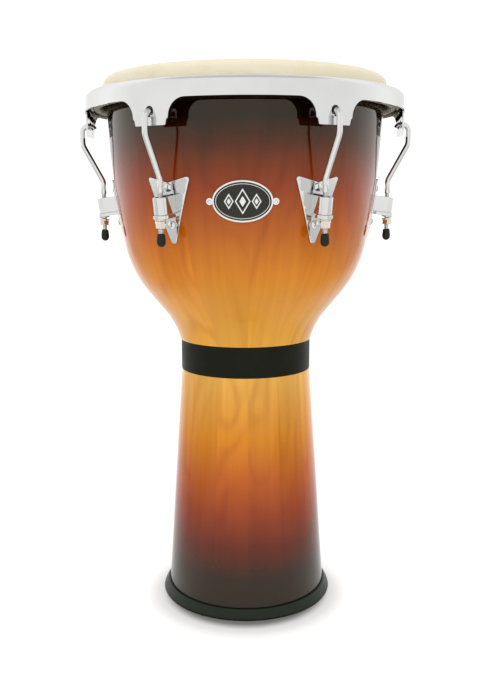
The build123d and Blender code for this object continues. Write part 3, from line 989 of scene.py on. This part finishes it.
def nut_mesh(segments=72):
    """A hexagon with chamfered corners under a round collar."""
    low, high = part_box("tuning_nut_1")
    collar = (high.y - low.y) / 2
    flats = 5 * MM
    corner = flats / math.cos(math.radians(30))
    bore = THREAD_RADIUS + 0.05 * MM
    collar_low = high.z - 2.2 * MM
    rows = [
        (bore, low.z + 0.4 * MM, 0),
        (bore + 0.4 * MM, low.z, 0),
        (flats - 0.15 * MM, low.z, 1),
        (corner - 0.35 * MM, low.z + 0.45 * MM, 1),
        (corner, low.z + 1.0 * MM, 1),
        (corner, collar_low - 0.25 * MM, 1),
        (corner - 0.1 * MM, collar_low, 1),
        (collar - 0.3 * MM, collar_low, 0),
        (collar, collar_low + 0.3 * MM, 0),
        (collar, high.z - 0.3 * MM, 0),
        (collar - 0.3 * MM, high.z, 0),
        (bore, high.z, 0),
    ]
    hexagon = {(r, z) for r, z, on in rows if on}

    def flat_sides(r, z, angle):
        if (r, z) not in hexagon:
            return r, z
        offset = (angle + math.pi / 6) % (math.pi / 3) - math.pi / 6
        return min(r, flats / math.cos(offset)), z

    verts, faces = lathe([(r, z) for r, z, _ in rows], segments=segments, shift=flat_sides)
    return moved(verts, (ROD_AXIS, 0, 0)), faces


def bracket_meshes():
    """The U-shaped strap round the rod, and the seat plate under it."""

    def outline(half):
        legs = [(-BRACKET_OFFSET - LEG_LENGTH * (1 - k / 6), -half) for k in range(6)]
        nose = arc((-BRACKET_OFFSET, 0), half, -math.pi / 2, math.pi / 2, 24)
        return legs + nose + [(x, -y) for x, y in legs[::-1]]

    def level(height):
        return lambda x, y: height

    outer, inner = outline(BRACKET_HALF), outline(BRACKET_HALF - BRACKET_STEEL)
    strap_verts, strap_faces = ribbon(outer, inner, level(0), level(BRACKET_HEIGHT), closed=False)
    back = -BRACKET_OFFSET - LEG_LENGTH - 1 * MM
    edge = [(back, SEAT_HALF * share) for share in (-1, -0.5, 0, 0.5)]
    rim = arc((-BRACKET_OFFSET, 0), SEAT_HALF, -math.pi / 2, math.pi / 2, 26)
    rim += [(x, -y) for x, y in edge]
    bore = THREAD_RADIUS + 0.8 * MM
    hole = []
    for x, y in rim:
        angle = math.atan2(y, x)
        hole.append((bore * math.cos(angle), bore * math.sin(angle)))
    seat_verts, seat_faces = ribbon(rim, hole, level(-SEAT_THICKNESS), level(0), closed=True)
    return (on_bracket(strap_verts), strap_faces), (on_bracket(seat_verts), seat_faces)


def plate_mesh():
    """An arrowhead of sheet steel, notched at the top, pressed to the bowl's curve."""
    half, tip = 26.5 * MM, 2.6 * MM
    top, notch, bottom = 504.3 * MM, 497.5 * MM, 435.5 * MM
    corners = [(0, notch), (half, top), (tip, bottom), (-tip, bottom), (-half, top)]
    outline = [tuple(p) for p in round_corners(corners, [1.2 * MM] + 4 * [2.4 * MM], steps=6)]

    def place(x, y, z):
        return on_bowl(x, y, PLATE_GAP + z)

    return sheet_metal([outline], PLATE_STEEL, 0.4 * MM, 5 * MM, place)


def bolt_mesh(height):
    """A domed bolt head on the plate, with its shank through the wood."""
    rise = 3 * MM
    edge = 0.8 * MM
    end = -20.5 * MM
    shank = 2.95 * MM
    ball = (BOLT_HEAD**2 + (rise - edge) ** 2) / (2 * (rise - edge))
    sweep = math.asin(BOLT_HEAD / ball)
    dome = arc((0, rise - ball), ball, math.pi / 2 - sweep, math.pi / 2, 10)
    dome[-1] = (0, rise)
    profile = [(0, end), (shank - 0.55 * MM, end), (shank, end + 0.6 * MM), (shank, 0)]
    profile += [(BOLT_HEAD - 0.2 * MM, 0), (BOLT_HEAD, 0.2 * MM)] + dome
    verts, faces = lathe(profile, segments=40, closed=False)
    return seated(verts, height, PLATE_STEEL + 2 * PLATE_GAP), faces


strap_mesh, seat_mesh = bracket_meshes()
# Name, mesh, material, body, CAD node and width of the broken edges
LUG_PIECES = [
    ("hook_rod", hook_mesh(), CHROME, "hook_{0}", "tuning_hook_{0}", 0),
    ("rod_cap", cap_mesh(), CAP_RUBBER, "hook_{0}", "hook_cap_{0}", 0),
    ("seat_washer", washer_mesh(), NUT_STEEL, "shell", "nut_washer_{0}", 0),
    ("draw_nut", nut_mesh(), NUT_STEEL, "nut_{0}", "tuning_nut_{0}", 0),
    ("lug_strap", strap_mesh, CHROME, "shell", "lug_bracket_{0}", 0.5 * MM),
    ("lug_seat", seat_mesh, CHROME, "shell", "lug_bracket_{0}", 0.5 * MM),
    ("lug_arrow_plate", plate_mesh(), CHROME, "shell", "lug_plate_{0}", 0),
    ("lug_bolt_pair", joined(*[bolt_mesh(h) for h in BOLT_HEIGHTS]), CHROME, "shell", "lug_bolts_{0}", 0),
]

for number in LUGS:
    for name, (verts, faces), material, body, node, broken_edge in LUG_PIECES:
        piece = make_object(
            f"{name}_{number}",
            turned(verts, lug_azimuth(number)),
            faces,
            material,
            body.format(number),
            [node.format(number)],
        )
        if broken_edge:
            bevel(piece, broken_edge)

show_node("lug_bolt_washers", INNER_STEEL)
show_node("lug_bolt_nuts", INNER_STEEL)


# -------------------- badge


def on_front(x, y, z):
    """A badge point: x across and y up on the bowl's front, z off its surface."""
    point = on_bowl(x, y + BADGE_HEIGHT, PLATE_GAP + z)
    return Matrix.Rotation(math.radians(-90), 3, "Z") @ point


def ellipse(inset):
    """The badge's oval, moved in by inset."""
    half_width, half_height = BADGE_HALF_WIDTH - inset, BADGE_HALF_HEIGHT - inset
    steps = 72
    turns = [2 * math.pi * k / steps for k in range(steps)]
    return [(half_width * math.cos(t), half_height * math.sin(t)) for t in turns]


def lozenge(x, half_width, half_height):
    """A diamond outline with slightly rounded corners."""
    corners = [(x + half_width, 0), (x, half_height), (x - half_width, 0), (x, -half_height)]
    return [tuple(p) for p in round_corners(corners, [0.4 * MM] * 4, steps=3)]


def badge():
    """An oval plate with a raised bezel and a plain lozenge ornament on black enamel."""
    bezel = sheet_metal([ellipse(0), ellipse(1.9 * MM)[::-1]], 1.8 * MM, 0.4 * MM, 6 * MM, on_front)
    ears = []
    for side in (-1, 1):
        ear = arc((side * BADGE_EAR, 0), 3.6 * MM, 0, 2 * math.pi, 24)[:-1]
        ears.append(sheet_metal([ear], 1.2 * MM, 0.3 * MM, 3 * MM, on_front))
    make_object("badge_bezel", *joined(bezel, *ears), BADGE_METAL, "shell", ["badge"])
    field = sheet_metal([ellipse(1.5 * MM)], 1.0 * MM, 0.1 * MM, 5 * MM, on_front)
    make_object("badge_field", *field, ENAMEL, "shell", ["badge"])

    def raised(x, y, z):
        return on_front(x, y, 0.9 * MM + z)

    shapes = [[ellipse(3.4 * MM), ellipse(4.0 * MM)[::-1]]]
    middle_and_sides = [(0, 8 * MM, 13 * MM), (-14 * MM, 5 * MM, 8 * MM), (14 * MM, 5 * MM, 8 * MM)]
    for x, half_width, half_height in middle_and_sides:
        outer = lozenge(x, half_width, half_height)
        inner = lozenge(x, half_width - 1.5 * MM, half_height - 2.4 * MM)
        shapes.append([outer, inner[::-1]])
        shapes.append([lozenge(x, half_width * 0.42, half_height * 0.42)])
    parts = [sheet_metal(shape, 0.5 * MM, 0.12 * MM, 5 * MM, raised) for shape in shapes]
    make_object("badge_ornament", *joined(*parts), BADGE_METAL, "shell", ["badge"])


badge()


def badge_pins():
    """Two round-headed pins through the badge's ears."""
    head_radius, rise = 2.1 * MM, 1.2 * MM
    shank, length = 0.9 * MM, 7 * MM
    head = arc((0, rise - head_radius), head_radius, math.radians(25), math.pi / 2, 6)
    head[-1] = (0, rise)
    profile = [(0, -length), (shank, 0.6 * MM - length), (shank, 0)] + head
    verts, faces = lathe(profile, segments=24, closed=False)
    pin_turn = math.degrees(math.asin(BADGE_EAR / on_bowl(0, BADGE_HEIGHT, 0).x))
    pin = seated(verts, BADGE_HEIGHT, 1.3 * MM)
    pins = [(turned(pin, azimuth), faces) for azimuth in (-90 - pin_turn, -90 + pin_turn)]
    make_object("badge_nails", *joined(*pins), BADGE_METAL, "shell", ["badge_pins"])


badge_pins()


# -------------------- studio

# Light given off; the ceiling's is a share of the walls'
FLOOR_GLOW = 0.24
FRONT_WALL = 1.05
BACK_WALL = 1.25
CEILING = 0.68


def floor_sheet(name, material, height):
    """A wide level sheet that belongs to the studio, not to the drum."""
    size = 12.0
    corners = [(-size, -size, height), (size, -size, height), (size, size, height), (-size, size, height)]
    sheet = make_object(name, corners, [[0, 1, 2, 3]], material, None)
    return sheet


def studio_floor():
    """A pale floor, painted dark under the foot as a contact shadow, which a faint glow round it keeps
    tight; it meets the bright back wall.
    """
    s = Shader("studio_floor")
    dust = s.noise(s.place(), 3, detail=3)
    pale, paler, dark = (0.88, 0.88, 0.88), (0.90, 0.90, 0.90), (0.22, 0.22, 0.22)
    tone = s.mix(s.spread(dust, 0.3, 0.7), paler, pale)
    # Rings centred 20 mm in front of the drum's axis: a painted shadow, dark under the foot, and a glow
    # round it
    across, depth, _ = s.split(s.place())
    reach = s.distance(across, s.plus(depth, 20 * MM))
    # Painted shadow: the floor's tone turns dark grey under the foot
    tone = s.mix(s.spread(reach, 88 * MM, 104 * MM, smooth=True), dark, tone)
    glow = s.spread(reach, 100 * MM, 130 * MM, 0.0, FLOOR_GLOW, smooth=True)
    glow = s.times(glow, s.spread(reach, 0.14, 0.45, 1.0, 0.4, smooth=True))
    glow = s.plus(glow, s.spread(depth, 0.1, 3.0, 0.0, BACK_WALL - 1.0))
    s.set(Base_Color=tone, Roughness=0.7, Emission_Color=(1.0, 1.0, 1.0, 1.0), Emission_Strength=glow)
    floor_sheet("studio_floor", s.material, 0)


def side_flags():
    """Soft-edged grey flags on the floor, left and right: the lacquer mirrors them, unseen."""
    s = Shader("side_flags")
    across, depth, _ = s.split(s.place())
    ahead = s.times(s.math("ABSOLUTE", depth), 0.8)
    aside = s.math("ABSOLUTE", across)
    sector = s.spread(s.minus(aside, ahead), 0.1, 0.55, smooth=True)
    cover = s.times(sector, s.spread(aside, 0.8, 4.0, 1.0, 0.0))
    grain = s.spread(s.noise(s.place(), 40), 0.3, 0.7, 0.58, 0.62)
    s.set(Base_Color=s.join(grain, grain, grain), Roughness=0.8, Alpha=cover)
    flags = floor_sheet("side_flags", s.material, 1 * MM)
    flags.visible_camera = False
    flags.visible_diffuse = False
    flags.visible_shadow = False


def studio_room():
    """Soft white walls: greyer in front and overhead, and one panel's edge to the right."""
    world = bpy.data.worlds.new("studio")
    bpy.context.scene.world = world
    world.use_nodes = True
    nodes, links = world.node_tree.nodes, world.node_tree.links
    background = nodes["Background"]
    where = nodes.new("ShaderNodeTexCoord")
    axes = nodes.new("ShaderNodeSeparateXYZ")
    links.new(where.outputs["Generated"], axes.inputs[0])

    def graded(axis, start, end, first, last):
        part = nodes.new("ShaderNodeMapRange")
        part.interpolation_type = "SMOOTHSTEP"
        links.new(axes.outputs[axis], part.inputs["Value"])
        for name, value in (("From Min", start), ("From Max", end), ("To Min", first), ("To Max", last)):
            part.inputs[name].default_value = value
        return part.outputs["Result"]

    def product(first, second):
        both = nodes.new("ShaderNodeMath")
        both.operation = "MULTIPLY"
        links.new(first, both.inputs[0])
        links.new(second, both.inputs[1])
        return both.outputs["Value"]

    walls = graded("Y", -0.2, 0.4, FRONT_WALL, BACK_WALL)
    panel = graded("X", 0.26, 0.32, 1.04, 0.99)
    ceiling = graded("Z", 0.76, 0.90, 1.0, CEILING)
    links.new(product(product(walls, panel), ceiling), background.inputs["Strength"])
    background.inputs["Color"].default_value = (1.0, 1.0, 1.0, 1.0)


def overhead_lamp():
    """One broad soft lamp high in front; it lights the drum but isn't mirrored in it."""
    lamp = bpy.data.lights.new("overhead", "AREA")
    lamp.shape = "RECTANGLE"
    lamp.size = 1.6
    lamp.size_y = 1.2
    lamp.energy = 6
    placed = bpy.data.objects.new("overhead", lamp)
    placed.location = (0, -1.1, 1.6)
    placed.rotation_euler = (math.radians(50), 0, 0)
    placed.visible_glossy = False
    bpy.context.scene.collection.objects.link(placed)


def camera():
    """A camera a metre in front, at three quarters of the drum's height, 10 degrees down."""
    distance, height, aside = 1008.8 * MM, 479 * MM, -0.8 * MM
    pitch, roll, azimuth = math.radians(10), math.radians(-0.2), math.radians(1)
    lens = bpy.data.cameras.new("camera")
    lens.sensor_width = 36
    lens.lens = 43.4
    eye = bpy.data.objects.new("camera", lens)
    eye.location = (distance * math.sin(azimuth) + aside, -distance * math.cos(azimuth), height)
    aim = Matrix.Rotation(azimuth, 4, "Z") @ Matrix.Rotation(math.pi / 2 - pitch, 4, "X")
    eye.rotation_euler = (aim @ Matrix.Rotation(roll, 4, "Z")).to_euler()
    bpy.context.scene.collection.objects.link(eye)
    bpy.context.scene.camera = eye


studio_floor()
side_flags()
studio_room()
overhead_lamp()
camera()
bpy.context.scene.view_settings.view_transform = "Standard"
